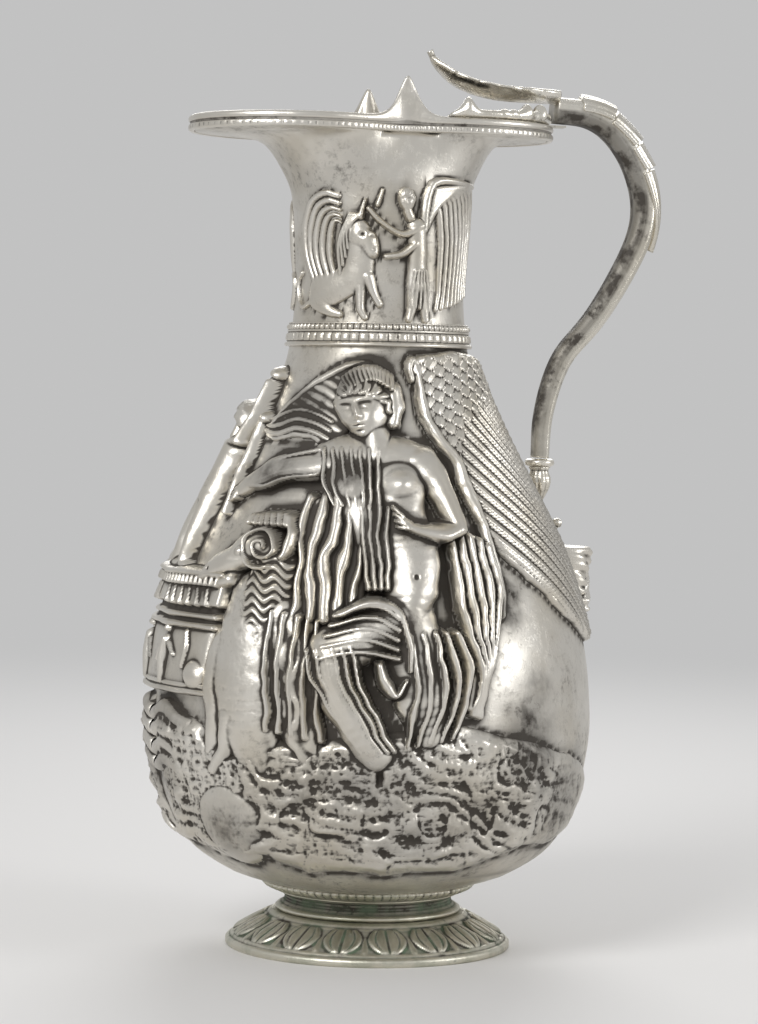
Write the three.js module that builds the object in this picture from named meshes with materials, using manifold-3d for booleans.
// A silver wine jug with a pinched mouth, a cast handle and figures in relief.
// Millimetres, +Z up. The handle points towards +X, the spout towards -X,
// and the two relief scenes face -Y and +Y.
import * as THREE from "three";
import { mergeVertices } from "three/addons/utils/BufferGeometryUtils.js";
import Module from "manifold-3d";

const wasm = await Module();
wasm.setup();

// Fits between soldered pieces
const SEAT_GAP = 0.3;
const RELIEF_GAP = 0.4;

// Foot, a hollow flared ring
const FOOT_RADIUS = 39.8;
const FOOT_EDGE_HEIGHT = 2.3;
const FOOT_STEP = 1.4;
const FOOT_HEIGHT = 9.8;
const FOOT_TOP_RADIUS = 27;
const FOOT_WALL = 1.8;
const FOOT_TREAD_WIDTH = 3.2;
const FOOT_SAG = 1.3;
const FOOT_SEGMENTS = 32;

// Waist moulding and leaf cup between foot and belly
const WAIST_HEIGHT = 5.8;
const WAIST_RADIUS = 23.4;
const WAIST_LIP_RADIUS = 25.4;
const WAIST_BORE = 18;
const CUP_BASE_HEIGHT = 1.2;
const CUP_UNDER_RADIUS = 26.6;
const CUP_RADIUS = 29.3;
const CUP_SEAT_RADIUS = 22.5;

// Belly and neck: radius and height over the belly's flat base
const WALL = 1.2;
const BASE_RADIUS = 24;
const BELLY_RADIUS = 61;
const BELLY_HEIGHT = 50;
const COLLAR_HEIGHT = 150.2;
const COLLAR_SEAT_RADIUS = 24.8;
const NECK_RADIUS = 23.4;
const NECK_HEIGHT = 166;
const FLARE_HEIGHT = 187.2;
const FLARE_RADIUS = 24.2;
const FLANGE_HEIGHT = 208.9;

// Mouth plan: two lobes pinched to a waist, with an ear on each pinch
const SPOUT_REACH = 54.5;
const BACK_REACH = 48.8;
const PINCH_RADIUS = 22.6;
const PINCH_OFFSET = 1.3;
const RIM_HEIGHT = 4.3;
const RIM_WIDTH = 4.5;
const RIM_LIP = 1.6;
const RIM_DROP = 0.2;
const EAR_HEIGHT = 11;
const EAR_WIDTH = 3.9;
const EAR_SHARPNESS = 1.7;
const EAR_THICKNESS = 2;
const MOUTH_SEGMENTS = 52;
const PINCH_CROWDING = 0.16;

// Beaded collar round the root of the neck
const BAND_HEIGHT = 6.6;
const BAND_DEPTH = 1.3;
const BEAD_COUNT = 28;
const BEAD_DEPTH = 0.5;

// Handle: a swan-necked stem from the rim to a mask on the shoulder
const STEM_START = 50;
const STEM_TOP_HEIGHT = 235;
const STEM_BEND_REACH = 77.6;
const STEM_BEND_HEIGHT = 207;
const STEM_FOOT_REACH = 47.9;
const STEM_FOOT_HEIGHT = 137;
const STEM_DEPTH = 8;
const STEM_WIDTH = 9.4;
const STEM_FOOT_DEPTH = 5.2;
const STEM_FOOT_WIDTH = 6.2;
const SHEATH_THICKNESS = 1.7;
const SHEATH_GAP = 1.2;

// Thumb leaf over the mouth
const LEAF_TIP_REACH = 12.3;
const LEAF_TIP_HEIGHT = 251;
const LEAF_THICKNESS = 3.2;
const LEAF_HALF_WIDTH = 9.5;

// Arms that hug the rim, ending in birds' heads
const ARM_RADIUS = 2.6;
const ARM_SPREAD = 128;

// Collar, calyx, plate, bud and mask at the handle's foot
const RING_RADIUS = 4.2;
const RING_HEIGHT = 2.2;
const CALYX_LENGTH = 10.5;
const CALYX_RADIUS = 3;
const PLATE_HALF_WIDTH = 5.2;
const PLATE_THICKNESS = 1.4;
const BUD_RADIUS = 1.5;
const BUD_STALK = 1.2;
const MASK_TOP = 112.3;
const MASK_CHIN = 90.5;
const MASK_HALF_WIDTH = 8.5;
const MASK_REACH = 64;
const MASK_CHIN_REACH = 62.3;

const DEGREES = Math.PI / 180;
const BODY_BASE = FOOT_HEIGHT + WAIST_HEIGHT + CUP_BASE_HEIGHT;
const RIM_BASE = BODY_BASE + FLANGE_HEIGHT - RIM_DROP;
const RIM_TOP = RIM_BASE + RIM_HEIGHT;

const FINISHES = {
  silver: { color: 0xb9b2a6, roughness: 0.34, metalness: 1 },
  relief: { color: 0xa79f92, roughness: 0.42, metalness: 1 },
  handle: { color: 0xc4bdb0, roughness: 0.28, metalness: 1 },
  foot: { color: 0x8f8c7c, roughness: 0.46, metalness: 1 },
};

const jug = new THREE.Group();

function addMesh(name, geometry, finish, parent = jug) {
  const mesh = new THREE.Mesh(geometry, new THREE.MeshStandardMaterial(FINISHES[finish]));
  mesh.name = name;
  parent.add(mesh);
  return mesh;
}

// The wall's radius at a height over the base, by a smooth curve through the profile
const WALL_PROFILE = [
  [0, BASE_RADIUS],
  [2.7, BASE_RADIUS + 9],
  [5.2, BASE_RADIUS + 16],
  [12.2, BELLY_RADIUS - 10.7],
  [23.2, BELLY_RADIUS - 4.4],
  [38.2, BELLY_RADIUS - 0.7],
  [BELLY_HEIGHT, BELLY_RADIUS],
  [70.2, BELLY_RADIUS - 2.4],
  [94.7, BELLY_RADIUS - 10.2],
  [112.2, BELLY_RADIUS - 19.1],
  [127.2, COLLAR_SEAT_RADIUS + 9.2],
  [143.2, COLLAR_SEAT_RADIUS + 1.9],
  [COLLAR_HEIGHT, COLLAR_SEAT_RADIUS],
  [NECK_HEIGHT, NECK_RADIUS],
  [FLARE_HEIGHT, FLARE_RADIUS],
];

function slopeAt(index) {
  const before = WALL_PROFILE[Math.max(index - 1, 0)];
  const after = WALL_PROFILE[Math.min(index + 1, WALL_PROFILE.length - 1)];
  return (after[1] - before[1]) / (after[0] - before[0]);
}

function wallRadius(z) {
  const height = THREE.MathUtils.clamp(z - BODY_BASE, 0, FLARE_HEIGHT);
  const last = WALL_PROFILE.length - 2;
  const found = WALL_PROFILE.findIndex((point) => point[0] > height);
  const i = found < 0 ? last : Math.min(found - 1, last);
  const [h0, r0] = WALL_PROFILE[i];
  const [h1, r1] = WALL_PROFILE[i + 1];
  const span = h1 - h0;
  const t = (height - h0) / span;
  const m0 = slopeAt(i) * span;
  const m1 = slopeAt(i + 1) * span;
  const t2 = t * t;
  const t3 = t2 * t;
  return (
    (2 * t3 - 3 * t2 + 1) * r0 +
    (t3 - 2 * t2 + t) * m0 +
    (3 * t2 - 2 * t3) * r1 +
    (t3 - t2) * m1
  );
}

// Mouth plan about the neck's axis, drawn in by an inset
function mouthPoint(theta, inset) {
  const reach = Math.cos(theta) < 0 ? SPOUT_REACH + PINCH_OFFSET : BACK_REACH - PINCH_OFFSET;
  const radius = PINCH_RADIUS + (reach - PINCH_RADIUS) * Math.cos(theta) ** 2 - inset;
  return new THREE.Vector2(PINCH_OFFSET + radius * Math.cos(theta), radius * Math.sin(theta));
}

// Rays shared by the neck and the rim, closer together at the pinch
function mouthAngle(i) {
  const even = (i / MOUTH_SEGMENTS) * 2 * Math.PI;
  return even + PINCH_CROWDING * Math.sin(2 * even);
}

function earLift(theta) {
  const along = (90 * DEGREES - Math.abs(Math.asin(Math.sin(theta)))) * PINCH_RADIUS;
  return EAR_HEIGHT * Math.exp(-((along / EAR_WIDTH) ** EAR_SHARPNESS));
}

// The flare from the neck's top out to the edge of the flange
const flangeReach = SPOUT_REACH - RIM_LIP - SEAT_GAP;
const FLARE_PROFILE = [
  [FLARE_HEIGHT, FLARE_RADIUS],
  [FLARE_HEIGHT + 6.6, FLARE_RADIUS + 1],
  [FLARE_HEIGHT + 12.2, FLARE_RADIUS + 3.4],
  [FLARE_HEIGHT + 17.7, FLARE_RADIUS + 7.1],
  [FLANGE_HEIGHT - 1.5, FLARE_RADIUS + 10.9],
  [FLANGE_HEIGHT - 0.3, FLARE_RADIUS + 17.8],
  [FLANGE_HEIGHT, flangeReach],
];

function shellRing(height, radius) {
  const blend = height > FLARE_HEIGHT ? (radius - FLARE_RADIUS) / (flangeReach - FLARE_RADIUS) : 0;
  return { z: BODY_BASE + height, radius, blend };
}

function circlePoint(radius, theta) {
  return new THREE.Vector2(radius * Math.cos(theta), radius * Math.sin(theta));
}

function shellPoint(ring, theta) {
  const round = circlePoint(ring.blend > 0 ? FLARE_RADIUS : ring.radius, theta);
  const plan = mouthPoint(theta, RIM_LIP + SEAT_GAP);
  const early = 1 - (1 - ring.blend) ** 4;
  const mixed = round.lerp(plan, THREE.MathUtils.lerp(ring.blend, early, Math.sin(theta) ** 2));
  const lift = earLift(theta) * ring.blend ** 3 * 0.2;
  return new THREE.Vector3(mixed.x, mixed.y, ring.z + lift);
}

// A value read off a list of [place, value] corners
function along(corners, place) {
  const found = corners.findIndex(([at]) => at >= place);
  const next = found < 0 ? corners.length - 1 : Math.max(1, found);
  const [from, low] = corners[next - 1];
  const [to, high] = corners[next];
  return THREE.MathUtils.mapLinear(place, from, to, low, high);
}

// The wall's reach from the axis at a scene angle, the flare towards the mouth included
function wallReach(angle, z) {
  const height = z - BODY_BASE;
  if (height <= FLARE_HEIGHT) return wallRadius(z);
  const ring = shellRing(height, along(FLARE_PROFILE, height));
  return Math.hypot(...shellPoint(ring, Math.PI + angle * DEGREES).toArray().slice(0, 2));
}

// A scene angle runs from the spout (0) past the scene's middle (90) to the handle (180)
function wallNormal(angle, z) {
  const step = 0.5;
  const slope = (wallReach(angle, z + step) - wallReach(angle, z - step)) / (2 * step);
  const radial = 1 / Math.hypot(1, slope);
  return new THREE.Vector3(
    -Math.cos(angle * DEGREES) * radial,
    -Math.sin(angle * DEGREES) * radial,
    -slope * radial,
  );
}

function onWall(angle, z, lift = 0) {
  const radius = wallReach(angle, z);
  const foot = new THREE.Vector3(
    -Math.cos(angle * DEGREES) * radius,
    -Math.sin(angle * DEGREES) * radius,
    z,
  );
  return foot.addScaledVector(wallNormal(angle, z), lift);
}

function toManifold(geometry) {
  const bare = geometry.clone();
  bare.deleteAttribute("normal");
  bare.deleteAttribute("uv");
  const merged = mergeVertices(bare, 1e-3);
  return new wasm.Manifold(
    new wasm.Mesh({
      numProp: 3,
      vertProperties: new Float32Array(merged.attributes.position.array),
      triVerts: new Uint32Array(merged.index.array),
    }),
  );
}

// A closed mesh from points and triangles, turned so that its faces point outwards
function solid(points, faces) {
  const geometry = new THREE.BufferGeometry().setFromPoints(points);
  geometry.setIndex(faces.flat());
  if (toManifold(geometry).volume() < 0) {
    geometry.setIndex(faces.flatMap(([a, b, c]) => [a, c, b]));
  }
  geometry.computeVertexNormals();
  return geometry;
}

function fromManifold(shape) {
  const mesh = shape.getMesh();
  const geometry = new THREE.BufferGeometry();
  geometry.setAttribute("position", new THREE.BufferAttribute(mesh.vertProperties, 3));
  geometry.setIndex(new THREE.BufferAttribute(mesh.triVerts, 1));
  geometry.computeVertexNormals();
  return geometry;
}

function join(...geometries) {
  return fromManifold(geometries.map(toManifold).reduce((a, b) => a.add(b)));
}

// Rings of equal length joined into a solid; open ends are capped by pairing opposite points
function loft(rings, closed = false) {
  const count = rings[0].length;
  const faces = [];
  const last = closed ? rings.length : rings.length - 1;
  for (let i = 0; i < last; i += 1) {
    const here = i * count;
    const next = ((i + 1) % rings.length) * count;
    for (let j = 0; j < count; j += 1) {
      const k = (j + 1) % count;
      faces.push([here + j, next + k, next + j], [here + j, here + k, next + k]);
    }
  }
  if (!closed) {
    const end = (rings.length - 1) * count;
    for (let j = 0; j < count / 2 - 1; j += 1) {
      const a = j;
      const b = j + 1;
      const c = count - 2 - j;
      const d = count - 1 - j;
      faces.push([a, c, b], [a, d, c]);
      faces.push([end + a, end + b, end + c], [end + a, end + c, end + d]);
    }
  }
  return solid(rings.flat(), faces);
}

// A turned piece: its profile of [radius, z] starts and ends on the axis, or closes on itself
function turned(profile, segments) {
  const points = profile.map(([radius, z]) => new THREE.Vector2(radius, z));
  if (profile[0][0] > 0) points.push(points[0].clone());
  const geometry = new THREE.LatheGeometry(points, segments);
  return geometry.rotateX(90 * DEGREES);
}

// A pillow on the wall inside a closed outline that its centre sees whole
function plaque(centre, outline, height, rings = 3, segments = 16, edge = 0.6) {
  const corners = outline.map(([angle, z]) => new THREE.Vector3(angle, z, 0));
  const curve = new THREE.CatmullRomCurve3(corners, true, "centripetal");
  const rim = Array.from({ length: segments }, (_, i) => curve.getPoint(i / segments));
  const points = [onWall(...centre, RELIEF_GAP + height), onWall(...centre, RELIEF_GAP)];
  for (let k = 1; k <= rings; k += 1) {
    const share = k / rings;
    const crown = edge + (height - edge) * Math.sqrt(1 - share * share);
    for (const lift of [crown, 0]) {
      for (const p of rim) {
        const angle = THREE.MathUtils.lerp(centre[0], p.x, share);
        const z = THREE.MathUtils.lerp(centre[1], p.y, share);
        points.push(onWall(angle, z, RELIEF_GAP + lift));
      }
    }
  }
  const at = (k, layer, i) => 2 + ((k - 1) * 2 + layer) * segments + (i % segments);
  const faces = [];
  for (let i = 0; i < segments; i += 1) {
    faces.push([0, at(1, 0, i), at(1, 0, i + 1)], [1, at(1, 1, i + 1), at(1, 1, i)]);
    for (let k = 1; k < rings; k += 1) {
      faces.push([at(k, 0, i), at(k + 1, 0, i), at(k + 1, 0, i + 1)]);
      faces.push([at(k, 0, i), at(k + 1, 0, i + 1), at(k, 0, i + 1)]);
      faces.push([at(k, 1, i), at(k + 1, 1, i + 1), at(k + 1, 1, i)]);
      faces.push([at(k, 1, i), at(k, 1, i + 1), at(k + 1, 1, i + 1)]);
    }
    faces.push([at(rings, 0, i), at(rings, 1, i), at(rings, 1, i + 1)]);
    faces.push([at(rings, 0, i), at(rings, 1, i + 1), at(rings, 0, i + 1)]);
  }
  return solid(points, faces);
}

// A round-backed band on the wall along a path of [angle, z, width, height]
function stroke(path, step = 7, sides = 5) {
  const route = new THREE.CatmullRomCurve3(path.map(([a, z]) => onWall(a, z)));
  const count = Math.max(path.length, Math.ceil(route.getLength() / step) + 1);
  const rings = [];
  for (let i = 0; i < count; i += 1) {
    const place = (i / (count - 1)) * (path.length - 1);
    const from = Math.min(Math.floor(place), path.length - 2);
    const mix = place - from;
    const [a, z, width, height] = path[from].map((v, j) => v + (path[from + 1][j] - v) * mix);
    const here = onWall(a, z, RELIEF_GAP);
    const normal = wallNormal(a, z);
    const ahead = path[from + 1];
    const tangent = onWall(ahead[0], ahead[1]).sub(onWall(path[from][0], path[from][1]));
    const side = new THREE.Vector3().crossVectors(normal, tangent).normalize();
    rings.push(
      Array.from({ length: sides }, (_, j) => {
        const turn = (Math.PI * j) / (sides - 1);
        return here
          .clone()
          .addScaledVector(side, (Math.cos(turn) * width) / 2)
          .addScaledVector(normal, Math.sin(turn) * height);
      }),
    );
  }
  return loft(rings);
}

// A grid patch on the wall between two angles, with its edges and lift given by functions
function patch([from, to], low, high, lift, columns, rows) {
  const points = [];
  for (const layer of [1, 0]) {
    for (let i = 0; i <= columns; i += 1) {
      const angle = THREE.MathUtils.lerp(from, to, i / columns);
      for (let j = 0; j <= rows; j += 1) {
        const z = THREE.MathUtils.lerp(low(angle), high(angle), j / rows);
        points.push(onWall(angle, z, RELIEF_GAP + layer * lift(angle, z)));
      }
    }
  }
  const stride = rows + 1;
  const under = (columns + 1) * stride;
  const faces = [];
  const quad = (a, b, c, d) => faces.push([a, b, c], [a, c, d]);
  for (let i = 0; i < columns; i += 1) {
    for (let j = 0; j < rows; j += 1) {
      const a = i * stride + j;
      quad(a, a + stride, a + stride + 1, a + 1);
      quad(under + a, under + a + 1, under + a + stride + 1, under + a + stride);
    }
    const a = i * stride;
    const b = a + rows;
    quad(a, under + a, under + a + stride, a + stride);
    quad(b, b + stride, under + b + stride, under + b);
  }
  for (let j = 0; j < rows; j += 1) {
    const b = columns * stride + j;
    quad(j, j + 1, under + j + 1, under + j);
    quad(b, under + b, under + b + 1, b + 1);
  }
  return solid(points, faces);
}

// Foot ring, waist moulding and leaf cup
const footSlope = new THREE.CubicBezierCurve(
  new THREE.Vector2(FOOT_RADIUS - FOOT_STEP, FOOT_EDGE_HEIGHT + 0.3),
  new THREE.Vector2(FOOT_RADIUS - 5, FOOT_EDGE_HEIGHT + 2.4 - FOOT_SAG / 2),
  new THREE.Vector2(FOOT_TOP_RADIUS + 3.5, FOOT_HEIGHT - 1.6 - FOOT_SAG),
  new THREE.Vector2(FOOT_TOP_RADIUS, FOOT_HEIGHT - 0.8),
)
  .getPoints(4)
  .map((p) => [p.x, p.y]);
addMesh(
  "foot_ring",
  turned(
    [
      [FOOT_RADIUS - FOOT_TREAD_WIDTH, 0],
      [FOOT_RADIUS - 0.3, 0],
      [FOOT_RADIUS, FOOT_EDGE_HEIGHT / 2],
      [FOOT_RADIUS - 0.3, FOOT_EDGE_HEIGHT],
      ...footSlope,
      [FOOT_TOP_RADIUS - 0.4, FOOT_HEIGHT],
      [WAIST_BORE, FOOT_HEIGHT],
      [WAIST_BORE, FOOT_HEIGHT - FOOT_WALL],
      [FOOT_TOP_RADIUS - FOOT_WALL, FOOT_HEIGHT - FOOT_WALL - 0.8],
      [FOOT_RADIUS - FOOT_TREAD_WIDTH - 1.6, FOOT_EDGE_HEIGHT - 0.6],
    ],
    FOOT_SEGMENTS,
  ),
  "foot",
);
const waistTop = FOOT_HEIGHT + WAIST_HEIGHT;
addMesh(
  "foot_waist",
  turned(
    [
      [WAIST_BORE, FOOT_HEIGHT],
      [WAIST_LIP_RADIUS, FOOT_HEIGHT],
      [WAIST_LIP_RADIUS, FOOT_HEIGHT + 1.1],
      [WAIST_RADIUS + 0.5, FOOT_HEIGHT + 1.7],
      [WAIST_RADIUS, FOOT_HEIGHT + WAIST_HEIGHT / 2],
      [WAIST_RADIUS + 0.5, waistTop - 1.2],
      [WAIST_LIP_RADIUS, waistTop],
      [WAIST_BORE, waistTop],
    ],
    FOOT_SEGMENTS,
  ),
  "foot",
);
const cupSeat = (radius) => {
  let z = BODY_BASE;
  while (wallRadius(z) < radius) z += 0.05;
  return z - SEAT_GAP;
};
addMesh(
  "leaf_cup",
  turned(
    [
      [WAIST_BORE, waistTop],
      [CUP_UNDER_RADIUS, waistTop],
      [CUP_UNDER_RADIUS + 0.6, waistTop + 0.7],
      [CUP_RADIUS, cupSeat(CUP_RADIUS) - 0.8],
      [CUP_RADIUS, cupSeat(CUP_RADIUS) - 0.2],
      [(CUP_RADIUS + BASE_RADIUS) / 2, cupSeat((CUP_RADIUS + BASE_RADIUS) / 2) - 0.1],
      [BASE_RADIUS + 0.3, BODY_BASE - SEAT_GAP],
      [CUP_SEAT_RADIUS, BODY_BASE],
      [WAIST_BORE, BODY_BASE],
    ],
    FOOT_SEGMENTS,
  ),
  "foot",
);

// Neck and belly: one raised sheet, round below and blending into the mouth plan above
const bellyHeights = [0, 2.7, 5.2, 9, 15, 24, 38.2, BELLY_HEIGHT];
const shoulderHeights = [66, 82, 98, 114, 129];
const neckHeights = [143.2, COLLAR_HEIGHT, 158, NECK_HEIGHT, 177];
const roundRings = [...bellyHeights, ...shoulderHeights, ...neckHeights].map((h) => [
  h,
  wallRadius(BODY_BASE + h),
]);
const meridian = [...roundRings, ...FLARE_PROFILE].map(([h, r]) => shellRing(h, r));

function shellColumn(theta) {
  const outer = meridian.map((ring) => shellPoint(ring, theta));
  const inner = outer.map((point, i) => {
    const before = outer[Math.max(i - 1, 0)];
    const after = outer[Math.min(i + 1, outer.length - 1)];
    const run = Math.hypot(after.x, after.y) - Math.hypot(before.x, before.y);
    const rise = after.z - before.z;
    const length = Math.hypot(run, rise);
    const radius = Math.hypot(point.x, point.y);
    const inset = i === 0 ? WALL : (WALL * rise) / length;
    const lift = i === 0 ? WALL : (WALL * run) / length;
    const shrink = (radius - inset) / radius;
    return new THREE.Vector3(point.x * shrink, point.y * shrink, point.z + lift);
  });
  return { outer, inner };
}

function bodyShell() {
  const columns = Array.from({ length: MOUTH_SEGMENTS }, (_, i) => shellColumn(mouthAngle(i)));
  const depth = meridian.length;
  const points = columns.flatMap(({ outer, inner }) => [...outer, ...inner.reverse()]);
  const stride = depth * 2;
  const faces = [];
  for (let i = 0; i < MOUTH_SEGMENTS; i += 1) {
    const here = i * stride;
    const next = ((i + 1) % MOUTH_SEGMENTS) * stride;
    for (let j = 0; j < stride - 1; j += 1) {
      faces.push([here + j, next + j, next + j + 1], [here + j, next + j + 1, here + j + 1]);
    }
    const under = points.length;
    faces.push([under, next, here], [under + 1, here + stride - 1, next + stride - 1]);
  }
  points.push(new THREE.Vector3(0, 0, BODY_BASE), new THREE.Vector3(0, 0, BODY_BASE + WALL));
  return solid(points, faces);
}
addMesh("body_shell", bodyShell(), "silver");

// Rim moulding, seated over the edge of the flange
function rimSection(theta) {
  const ear = earLift(theta);
  const share = ear / EAR_HEIGHT;
  const topWidth = THREE.MathUtils.lerp(RIM_WIDTH, EAR_THICKNESS, share);
  const topInset = 0.5 * share;
  const seat = BODY_BASE + FLANGE_HEIGHT + WALL + SEAT_GAP + ear * 0.2;
  const section = [
    [0, RIM_BASE],
    [0, RIM_TOP - 0.8 + ear * 0.5],
    [topInset + 0.4, RIM_TOP + ear],
    [topInset + topWidth, RIM_TOP + ear],
    [RIM_WIDTH, seat],
    [RIM_LIP, seat],
    [RIM_LIP, RIM_BASE],
  ];
  return section.map(([inset, z]) => {
    const plan = mouthPoint(theta, inset);
    return new THREE.Vector3(plan.x, plan.y, z);
  });
}

const rimRings = Array.from({ length: MOUTH_SEGMENTS }, (_, i) => rimSection(mouthAngle(i)));
addMesh("mouth_rim", loft(rimRings, true), "silver");

// Beaded collar: a ring of beads between two fillets
const bandLow = BODY_BASE + COLLAR_HEIGHT;
const bandProfile = [
  [0, 1, 0],
  [0.15, 1, 0],
  [0.25, 0.6, 1],
  [0.75, 0.6, 1],
  [0.85, 1, 0],
  [1, 1, 0],
];
function bandRing(i) {
  const theta = (i / (BEAD_COUNT * 2)) * 2 * Math.PI;
  const bead = i % 2 ? 0 : BEAD_DEPTH;
  const outer = bandProfile.map(([share, depth, beaded]) => {
    const z = bandLow + share * BAND_HEIGHT;
    const radius = wallRadius(z) + SEAT_GAP + BAND_DEPTH * depth + bead * beaded;
    return new THREE.Vector3(radius * Math.cos(theta), radius * Math.sin(theta), z);
  });
  const inner = [1, 0].map((share) => {
    const z = bandLow + share * BAND_HEIGHT;
    const radius = wallRadius(z) + SEAT_GAP;
    return new THREE.Vector3(radius * Math.cos(theta), radius * Math.sin(theta), z);
  });
  return [...outer, ...inner];
}
const bandRings = Array.from({ length: BEAD_COUNT * 2 }, (_, i) => bandRing(i));
addMesh("neck_band", loft(bandRings, true), "silver");

// Handle stem along its planar path
const stemPath = new THREE.CatmullRomCurve3(
  [
    [STEM_START, STEM_TOP_HEIGHT],
    [60, STEM_TOP_HEIGHT - 0.9],
    [66.6, STEM_TOP_HEIGHT - 4.2],
    [72.4, STEM_TOP_HEIGHT - 10.8],
    [STEM_BEND_REACH - 1.3, STEM_BEND_HEIGHT + 8.6],
    [STEM_BEND_REACH, STEM_BEND_HEIGHT],
    [STEM_BEND_REACH - 1.8, STEM_BEND_HEIGHT - 8.4],
    [STEM_BEND_REACH - 10.4, STEM_BEND_HEIGHT - 24.6],
    [STEM_BEND_REACH - 16.6, STEM_BEND_HEIGHT - 33.4],
    [STEM_FOOT_REACH + 7.2, STEM_FOOT_HEIGHT + 30.2],
    [STEM_FOOT_REACH + 3.4, STEM_FOOT_HEIGHT + 22.4],
    [STEM_FOOT_REACH + 0.6, STEM_FOOT_HEIGHT + 11],
    [STEM_FOOT_REACH, STEM_FOOT_HEIGHT],
  ].map(([x, z]) => new THREE.Vector3(x, 0, z)),
);

// Places an offset across the stem (along Y) and outwards from it at a share of its length
function stemFrame(share) {
  const place = stemPath.getPointAt(share);
  const tangent = stemPath.getTangentAt(share);
  const outward = new THREE.Vector3(-tangent.z, 0, tangent.x);
  const depth = THREE.MathUtils.lerp(STEM_DEPTH, STEM_FOOT_DEPTH, share ** 1.6);
  const width = THREE.MathUtils.lerp(STEM_WIDTH, STEM_FOOT_WIDTH, share);
  const at = (across, out) =>
    place.clone().addScaledVector(outward, out).add(new THREE.Vector3(0, across, 0));
  return { at, depth, width };
}

function stemRing(share, sides = 8) {
  const { at, depth, width } = stemFrame(share);
  return Array.from({ length: sides }, (_, j) => {
    const turn = (2 * Math.PI * (j + 0.5)) / sides;
    return at((Math.cos(turn) * width) / 2, (Math.sin(turn) * depth) / 2);
  });
}
const STEM_STEPS = 24;
const stemRings = Array.from({ length: STEM_STEPS + 1 }, (_, i) => stemRing(i / STEM_STEPS));
addMesh("handle_stem", loft(stemRings), "handle");

// Sheaths over the stem's outer side, each a curved shell that flares at its end
function sheath(from, to, steps, taper) {
  const sides = 6;
  const reach = 75 * DEGREES;
  const rings = Array.from({ length: steps + 1 }, (_, i) => {
    const share = i / steps;
    const { at, depth, width } = stemFrame(THREE.MathUtils.lerp(from, to, share));
    const spread = reach * (1 - taper * share ** 2);
    const thick = SHEATH_THICKNESS * (0.7 + 0.5 * share);
    const arc = (lift) =>
      Array.from({ length: sides }, (_, j) => {
        const turn = 90 * DEGREES + spread * (1 - (2 * j) / (sides - 1));
        const across = Math.cos(turn) * (width / 2 + SEAT_GAP + 0.25 + lift);
        return at(across, Math.sin(turn) * (depth / 2 + SEAT_GAP + 0.25 + lift));
      });
    return [...arc(0), ...arc(thick).reverse()];
  });
  return loft(rings);
}
const stemLength = stemPath.getLength();
const gapShare = SHEATH_GAP / stemLength;
const SHEATH_ENDS = [0.06, 0.135, 0.212, 0.272];
const sheathNames = ["sheath_upper", "sheath_middle", "sheath_lower"];
sheathNames.forEach((name, i) => {
  addMesh(name, sheath(SHEATH_ENDS[i], SHEATH_ENDS[i + 1] - gapShare, 4, 0.12), "handle");
});
addMesh("stem_leaf", sheath(SHEATH_ENDS[3], 0.44, 8, 0.92), "handle");

// Thumb leaf: a cast blade that rises over the mouth from the top of the stem
const leafPath = new THREE.CatmullRomCurve3(
  [
    [STEM_START - 0.6, STEM_TOP_HEIGHT + 3.3],
    [41, STEM_TOP_HEIGHT + 3.2],
    [LEAF_TIP_REACH + 19, LEAF_TIP_HEIGHT - 12.3],
    [LEAF_TIP_REACH + 9.5, LEAF_TIP_HEIGHT - 9.6],
    [LEAF_TIP_REACH + 3, LEAF_TIP_HEIGHT - 4.6],
    [LEAF_TIP_REACH + 0.9, LEAF_TIP_HEIGHT - 0.9],
  ].map(([x, z]) => new THREE.Vector3(x, 0, z)),
);
const LEAF_STEPS = 12;
const leafRings = Array.from({ length: LEAF_STEPS + 1 }, (_, i) => {
  const share = i / LEAF_STEPS;
  const place = leafPath.getPointAt(share);
  const tangent = leafPath.getTangentAt(share);
  const up = new THREE.Vector3(tangent.z, 0, -tangent.x);
  const swell = Math.sin(Math.PI * Math.min(1, 0.16 + share * 0.86)) ** 0.7;
  const half = Math.max(1.3, LEAF_HALF_WIDTH * swell);
  const thick = LEAF_THICKNESS * (1 - 0.55 * share);
  const top = [-1, -0.5, 0, 0.5, 1].map((t) => [t * half, thick / 2 + 1.6 * t * t * swell]);
  const low = [0.85, 0.5, 0, -0.5, -0.85].map((t) => [t * half, -thick / 2 + 1.6 * t * t * swell]);
  return [...top, ...low].map(([across, lift]) =>
    place.clone().addScaledVector(up, lift).add(new THREE.Vector3(0, across, 0)),
  );
});
addMesh("thumb_leaf", loft(leafRings), "handle");

// Rim arms: tapering horns on the rim's top that end in a bird's head
function rimArm(side) {
  const steps = 14;
  const rings = Array.from({ length: steps + 1 }, (_, i) => {
    const share = i / steps;
    const start = Math.asin((ARM_RADIUS + 2.2) / BACK_REACH);
    const theta = THREE.MathUtils.lerp(start, (ARM_SPREAD / 2) * DEGREES, share);
    const inset = RIM_WIDTH / 2;
    const plan = mouthPoint(theta, inset);
    const ahead = mouthPoint(theta + 0.01, inset).sub(plan).normalize();
    const head = Math.exp(-(((share - 0.86) / 0.09) ** 2));
    const radius = share === 1 ? 0.5 : ARM_RADIUS * (0.62 - 0.18 * share + 0.45 * head);
    const centre = RIM_TOP + SEAT_GAP + radius;
    return Array.from({ length: 8 }, (_, j) => {
      const turn = (2 * Math.PI * (j + 0.5)) / 8;
      const out = Math.cos(turn) * radius;
      const x = plan.x + ahead.y * out;
      const y = plan.y - ahead.x * out;
      return new THREE.Vector3(x, side * y, centre + Math.sin(turn) * radius);
    });
  });
  return loft(rings);
}
addMesh("rim_arm_front", rimArm(-1), "handle");
addMesh("rim_arm_back", rimArm(1), "handle");

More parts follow.
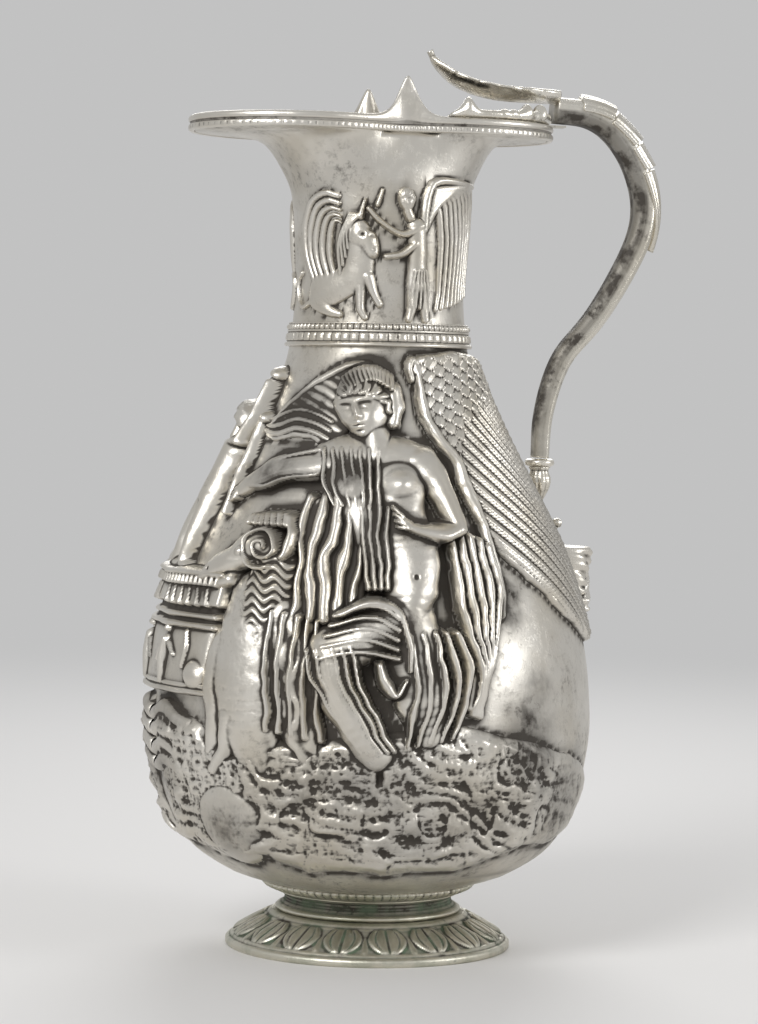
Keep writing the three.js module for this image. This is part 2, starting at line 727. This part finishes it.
// Saddle block that carries the stem and the leaf on the rim
const saddleLow = RIM_TOP + SEAT_GAP;
const saddleHigh = STEM_TOP_HEIGHT - STEM_DEPTH / 2 - SEAT_GAP;
const saddle = new THREE.BoxGeometry(RIM_WIDTH + 1.5, 3.4, saddleHigh - saddleLow);
saddle.translate(BACK_REACH - RIM_WIDTH / 2 + 3.6, 0, (saddleLow + saddleHigh) / 2);
addMesh("handle_saddle", saddle, "handle");

// Ring and calyx at the stem's foot
const ringTop = STEM_FOOT_HEIGHT - SEAT_GAP;
const ringLow = ringTop - RING_HEIGHT;
const footRing = turned(
  [
    [0, ringLow],
    [RING_RADIUS - 0.8, ringLow],
    [RING_RADIUS, ringLow + RING_HEIGHT / 2],
    [RING_RADIUS - 0.8, ringTop],
    [0, ringTop],
  ],
  16,
);
addMesh("stem_ring", footRing.translate(STEM_FOOT_REACH, 0, 0), "handle");
const calyxLow = ringLow - CALYX_LENGTH;
const calyx = turned(
  [
    [0, calyxLow],
    [0.9, calyxLow],
    [1.1, calyxLow + 1.6],
    [CALYX_RADIUS - 0.4, calyxLow + 4.4],
    [CALYX_RADIUS, ringLow - 3.4],
    [CALYX_RADIUS - 0.4, ringLow],
    [0, ringLow],
  ],
  14,
);
addMesh("stem_calyx", calyx.translate(STEM_FOOT_REACH, 0, 0), "handle");

// Attachment plate: a leaf on the wall that thickens towards the calyx
const plateProud = STEM_FOOT_REACH - wallRadius(calyxLow) - RELIEF_GAP;
const plateRise = wallNormal(180, calyxLow).z * (plateProud + RELIEF_GAP);
const plateTop = calyxLow - SEAT_GAP - plateRise;
const plate = stroke([
  [180, plateTop, PLATE_HALF_WIDTH, plateProud],
  [180, plateTop - 4, PLATE_HALF_WIDTH * 2, plateProud * 0.85],
  [180, plateTop - 9, PLATE_HALF_WIDTH * 1.7, PLATE_THICKNESS * 1.2],
  [180, MASK_TOP + 0.9, PLATE_HALF_WIDTH, PLATE_THICKNESS],
]);
addMesh("attachment_plate", plate, "handle");

// Bud on a short stalk that stands out from the plate
const budHeight = plateTop - 3.6;
const budSeat = onWall(180, budHeight, RELIEF_GAP + plateProud).x + SEAT_GAP;
const bud = turned(
  [
    [0, 0],
    [0.7, 0],
    [0.7, BUD_STALK],
    [BUD_RADIUS * 0.8, BUD_STALK + BUD_RADIUS * 0.4],
    [BUD_RADIUS, BUD_STALK + BUD_RADIUS],
    [BUD_RADIUS * 0.7, BUD_STALK + BUD_RADIUS * 1.7],
    [0, BUD_STALK + BUD_RADIUS * 2],
  ],
  12,
);
addMesh("attachment_bud", bud.rotateY(90 * DEGREES).translate(budSeat, 0, budHeight), "handle");

// Mask: a head with a flat-topped crown of hair, hollowed behind to follow the wall
const maskRings = [
  [1, 0.93, 0.84],
  [0.82, 1, 1],
  [0.62, 0.93, 0.98],
  [0.42, 0.9, 0.9],
  [0.2, 0.86, 0.72],
  [0, 0.8, 0.4],
].map(([share, reach, width]) => {
  const z = THREE.MathUtils.lerp(MASK_CHIN, MASK_TOP, share);
  const back = wallRadius(z) + RELIEF_GAP;
  const front = THREE.MathUtils.lerp(MASK_CHIN_REACH, MASK_REACH, (reach - 0.8) / 0.2);
  return Array.from({ length: 10 }, (_, j) => {
    const turn = (Math.PI * j) / 9;
    const across = MASK_HALF_WIDTH * width * Math.cos(turn);
    return new THREE.Vector3(back + (front - back) * Math.sin(turn) ** 0.7, across, z);
  });
});
addMesh("handle_mask", loft(maskRings), "handle");

// Relief: each piece of the front scene is mirrored for the back one
function oval([angle, z], [halfWidth, halfHeight], corners = 8) {
  const halfAngle = halfWidth / wallRadius(z) / DEGREES;
  return Array.from({ length: corners }, (_, i) => {
    const turn = (2 * Math.PI * i) / corners;
    return [angle + halfAngle * Math.cos(turn), z + halfHeight * Math.sin(turn)];
  });
}

function addPair(name, geometry) {
  addMesh(name + "_front", geometry, "relief");
  addMesh(name + "_back", geometry, "relief").scale.y = -1;
}

const HEAD = [70, 151.5];
addPair(
  "victory_figure",
  join(
    plaque(HEAD, oval(HEAD, [8, 10]), 6.5),
    stroke([
      [73, 146, 9, 4],
      [74, 137, 12, 4],
    ]),
    plaque(
      [78, 120],
      [
        [55, 137],
        [64, 141],
        [86, 141],
        [95, 136],
        [93, 124],
        [95, 112],
        [95, 101],
        [88, 95],
        [78, 99],
        [73, 112],
        [68, 123],
      ],
      4.5,
      4,
    ),
    stroke([
      [62, 137, 7, 4.5],
      [44, 132, 7, 4.5],
      [22, 127.5, 4.5, 3],
    ]),
    stroke([
      [90, 138, 6, 4],
      [98, 130, 6, 5],
      [101, 119, 5.5, 5.5],
      [91, 118, 5, 6.5],
      [84, 122.5, 5, 6],
    ]),
    stroke([
      [92, 94, 14, 5],
      [76, 95, 15, 7],
      [64, 88, 12, 6.5],
      [67, 78, 11, 4.5],
      [74, 67, 8, 2.5],
    ]),
    stroke([
      [90, 96, 13, 5.5],
      [93, 84, 14, 4],
      [90, 69, 13, 2.4],
    ]),
    stroke([
      [100, 112, 5, 3.5],
      [99, 98, 7, 3],
      [102, 84, 6, 2.5],
      [101, 67, 5, 1.8],
    ]),
  ),
);

const MANTLE_TOP = [
  [54, 122],
  [61, 121],
  [67.5, 106],
];
const MANTLE_LOW = [
  [54, 97.5],
  [60, 98.5],
  [67.5, 104.5],
];
const mantleFold = (angle) => 2.4 + 0.9 * Math.cos(((angle - 54) * 2 * Math.PI) / 4.5);
addPair(
  "hanging_mantle",
  patch(
    [54, 67.5],
    (angle) => along(MANTLE_LOW, angle),
    (angle) => along(MANTLE_TOP, angle),
    mantleFold,
    9,
    4,
  ),
);

const FAR_WING_TOP = [
  [19, 146],
  [30, 154],
  [42, 158.5],
  [52, 161],
];
const farWingLow = (angle) => 142.4 + 0.8 * Math.cos(angle / 7);
const farWingLift = (angle, z) => (z < farWingLow(angle) + 2 ? 2.8 : 1.8);
addPair(
  "far_wing",
  patch([19, 52], farWingLow, (angle) => along(FAR_WING_TOP, angle), farWingLift, 7, 4),
);

// The near wing's inner and lower edge; its feathers run from the shoulder down to the handle
const WING_LOW = [
  [92, 157],
  [98, 147],
  [107, 136],
  [112, 115],
  [125, 105],
  [147, 91],
  [160, 86.5],
  [166, 90],
];
const WING_HIGH = [
  [92, 163.5],
  [96, 165],
  [140, 163],
  [166, 150],
];
function wingLift(angle, z) {
  const fromEdge = z - along(WING_LOW, angle);
  const quill = Math.cos((z + 0.93 * angle) / 1.9);
  return 1.7 + 1.5 * Math.exp(-((fromEdge / 5) ** 2)) + (fromEdge > 3 ? 0.35 * quill : 0);
}
addPair(
  "near_wing",
  patch(
    [92, 166],
    (angle) => along(WING_LOW, angle),
    (angle) => along(WING_HIGH, angle),
    wingLift,
    14,
    8,
  ),
);

addPair(
  "beast_head",
  join(
    plaque(
      [39, 113],
      [
        [26, 120],
        [34, 122.5],
        [46, 122.5],
        [50, 117],
        [49, 110],
        [44, 104.8],
        [36, 104.8],
        [31, 107],
        [25, 107],
        [21, 110],
        [24, 114],
      ],
      5.5,
    ),
    stroke([
      [40, 118, 3, 6.5],
      [47, 116, 3, 6.5],
      [43, 110, 2.6, 6],
    ]),
  ),
);
addPair(
  "beast_body",
  join(
    plaque(
      [43, 94],
      [
        [35, 102.8],
        [45, 102.8],
        [50, 103.5],
        [52, 96],
        [53, 88],
        [46, 84],
        [37, 86],
        [35, 94],
      ],
      4.5,
    ),
    plaque(
      [43, 76],
      [
        [36, 90],
        [46, 92],
        [53, 88],
        [54, 78],
        [54, 66],
        [48, 61],
        [38, 61],
        [34, 68],
        [34, 80],
      ],
      4,
    ),
  ),
);

// Rough ground round the lower belly, broken off below
const GROUND_LIFT = 1.1;
const groundTop = (angle) => 56.5 + 1.5 * Math.sin(angle / 6) - 0.04 * Math.abs(angle - 60);
const groundLow = (angle) => 32 + 1.6 * Math.sin(angle / 8);
const groundRise = (angle, z) => {
  const swell = Math.sin(angle / 3.1 + z / 4) * Math.cos(z / 3.3 - angle / 7);
  return GROUND_LIFT * (0.75 + 0.4 * swell);
};
addPair("ground_rocks", patch([2, 128], groundLow, groundTop, groundRise, 18, 6));

// Altar under the spout, with its cornice, and the statuette on it
const ALTAR_LOW = 62;
const ALTAR_HIGH = 100.5;
const ALTAR_HALF_ANGLE = 29;
const altarLift = (_, z) => (z > 90 ? 3.6 : 2.6);
addMesh(
  "altar",
  patch(
    [-ALTAR_HALF_ANGLE, ALTAR_HALF_ANGLE],
    () => ALTAR_LOW,
    () => ALTAR_HIGH,
    altarLift,
    9,
    5,
  ),
  "relief",
);
const CORNICE_HEIGHT = 3.6;
const corniceLow = ALTAR_HIGH + SEAT_GAP;
addMesh(
  "altar_cornice",
  patch(
    [-ALTAR_HALF_ANGLE - 1.5, ALTAR_HALF_ANGLE + 1.5],
    () => corniceLow,
    () => corniceLow + CORNICE_HEIGHT,
    () => 5.2,
    9,
    1,
  ),
  "relief",
);
addMesh(
  "statuette",
  join(
    stroke([
      [0, corniceLow + CORNICE_HEIGHT + 0.6, 9, 3.6],
      [0, 116, 8, 4.2],
      [0, 127, 10, 4.6],
      [0, 138, 12, 4.6],
      [0, 144, 10, 4.4],
      [0, 148, 5, 4.4],
    ]),
    plaque([0, 152], oval([0, 152], [4.6, 5.4]), 6, 2, 12),
    plaque([0, 159.5], oval([0, 159.5], [2.6, 2.8]), 3.6, 2, 10),
    stroke([
      [-13, 142, 3.4, 2.6],
      [0, 143.5, 4, 4],
      [13, 142, 3.4, 2.6],
    ]),
  ),
  "relief",
);
addPair(
  "staff",
  stroke([
    [16, 144, 2.4, 2.6],
    [17, 138, 3.6, 3],
    [18.4, 131.8, 2.4, 2.4],
  ]),
);

// Neck frieze: a griffin and a winged youth on each side
addPair(
  "griffin",
  join(
    plaque([39, 181], oval([39, 181], [9.5, 4.6]), 2.2, 3, 12),
    stroke([
      [50, 180, 4, 2],
      [58, 187, 6, 2.4],
      [57, 195, 6, 2.6],
      [62, 200, 6, 2.8],
    ]),
    plaque([66, 198], oval([66, 198], [3.8, 5]), 3.2, 2, 12),
    stroke([
      [62, 191, 3.4, 2],
      [68, 182, 2.4, 1.8],
      [73, 177.5, 2.4, 1.8],
    ]),
    stroke([
      [42, 184, 6, 1.8],
      [28, 190, 7, 1.8],
      [27, 200, 7, 1.6],
      [36, 205.5, 5, 1.4],
      [50, 206, 2.4, 1],
    ]),
  ),
);
const YOUTH_WING_TOP = [
  [104, 206],
  [108, 212],
  [120, 212],
  [138, 209],
];
const YOUTH_WING_LOW = [
  [104, 198],
  [110, 186],
  [122, 178],
  [138, 190],
];
addPair(
  "winged_youth",
  join(
    plaque([92, 206], oval([92, 206], [3.2, 5.4]), 3, 2, 12),
    stroke([
      [94, 204, 5, 2],
      [101, 196, 7.5, 2.6],
      [101, 188, 6.5, 2.6],
      [99, 182, 6.5, 2.6],
    ]),
    stroke([
      [100, 199.5, 2.8, 2.8],
      [88, 197.5, 2.6, 3],
      [77, 202, 2.2, 2.6],
    ]),
    stroke([
      [99, 193.5, 2.4, 2.4],
      [86, 192, 2.2, 2.4],
      [79, 191.5, 2, 2],
    ]),
    stroke([
      [98, 184, 4.5, 2.6],
      [95, 179, 3.6, 2.2],
      [98, 175, 3, 1.8],
    ]),
    stroke([
      [103, 184, 4.5, 2.4],
      [106, 179, 3.4, 2],
      [110, 175, 3, 1.6],
    ]),
    patch(
      [104, 138],
      (angle) => along(YOUTH_WING_LOW, angle),
      (angle) => along(YOUTH_WING_TOP, angle),
      (angle) => 1.3 + 0.4 * Math.cos(angle / 1.1),
      8,
      4,
    ),
  ),
);

// The frame's origin is the middle of the outer box, on the surface the foot stands on
const bounds = new THREE.Box3().setFromObject(jug);
const middle = bounds.getCenter(new THREE.Vector3());
jug.position.set(-middle.x, -middle.y, -bounds.min.z);

export default jug;
